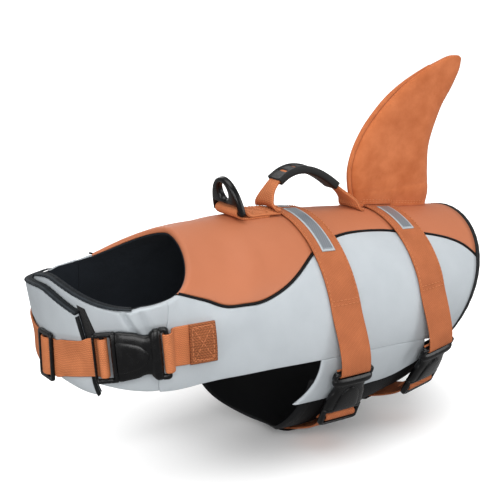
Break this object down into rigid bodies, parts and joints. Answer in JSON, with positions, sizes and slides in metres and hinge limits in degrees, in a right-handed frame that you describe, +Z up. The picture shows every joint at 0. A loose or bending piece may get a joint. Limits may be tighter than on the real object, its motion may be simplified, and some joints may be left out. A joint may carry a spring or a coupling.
{
  "type": "dog life jacket",
  "caption": "Padded dog life jacket with a shark fin, top handle, lead ring, crossed collar and webbing straps with side-release buckles, shown filled out with no wearer.",
  "frame": {"origin": "on the lining under the ridge of the back, where the wearer's back carries the jacket, level with the front girth strap", "axes": "+X along the back from the head to the tail, +Y to the wearer's right side, +Z up"},
  "size_m": [0.4816, 0.2073, 0.3512],
  "materials": {
    "orange_cloth": "coated orange cloth over foam, satin",
    "grey_cloth": "fine-weave grey cloth over foam, matt",
    "lining_cloth": "charcoal lining cloth",
    "black_cloth": "black tape, binding, piping and belly cloth",
    "webbing": "orange woven webbing",
    "fin_cloth": "orange brushed cloth over foam",
    "black_plastic": "black moulded plastic, gloss",
    "black_rubber": "black rubber",
    "reflector": "grey reflective tape"
  },
  "bodies": {
    "vest": {"back_panel": "orange_cloth", "belly_flap_left": "grey_cloth", "belly_flap_right": "grey_cloth", "belly_panel": "black_cloth", "chest_buckle_female": "black_plastic", "chest_buckle_male": "black_plastic", "chest_patch": "webbing", "chest_slider": "black_plastic", "chest_strap": "webbing", "chest_tab": "webbing", "collar_binding_left": "black_cloth", "collar_binding_right": "black_cloth", "collar_fastener": "black_cloth", "collar_left": "grey_cloth", "collar_right": "grey_cloth", "fin": "fin_cloth", "fin_piping": "fin_cloth", "girth_buckle_front_female": "black_plastic", "girth_buckle_front_male": "black_plastic", "girth_buckle_rear_female": "black_plastic", "girth_buckle_rear_male": "black_plastic", "girth_strap_front": "webbing", "girth_strap_rear": "webbing", "handle_grip": "black_rubber", "handle_webbing": "webbing", "lining_body": "lining_cloth", "lining_collar_left": "lining_cloth", "lining_collar_right": "lining_cloth", "piping_left": "black_cloth", "piping_right": "black_cloth", "rear_binding": "black_cloth", "reflector_front_left": "reflector", "reflector_front_right": "reflector", "reflector_rear_left": "reflector", "reflector_rear_right": "reflector", "ring_tab": "webbing", "side_panel_left": "grey_cloth", "side_panel_right": "grey_cloth"},
    "ring": {"d_ring": "black_plastic"}
  },
  "joints": [
    {"name": "ring_hinge", "type": "hinge", "parent": "vest", "child": "ring", "pos_m": [-0.07, 0, 0.0166], "axis": [0, 1, 0], "range_deg": [-76, 74]}
  ]
}
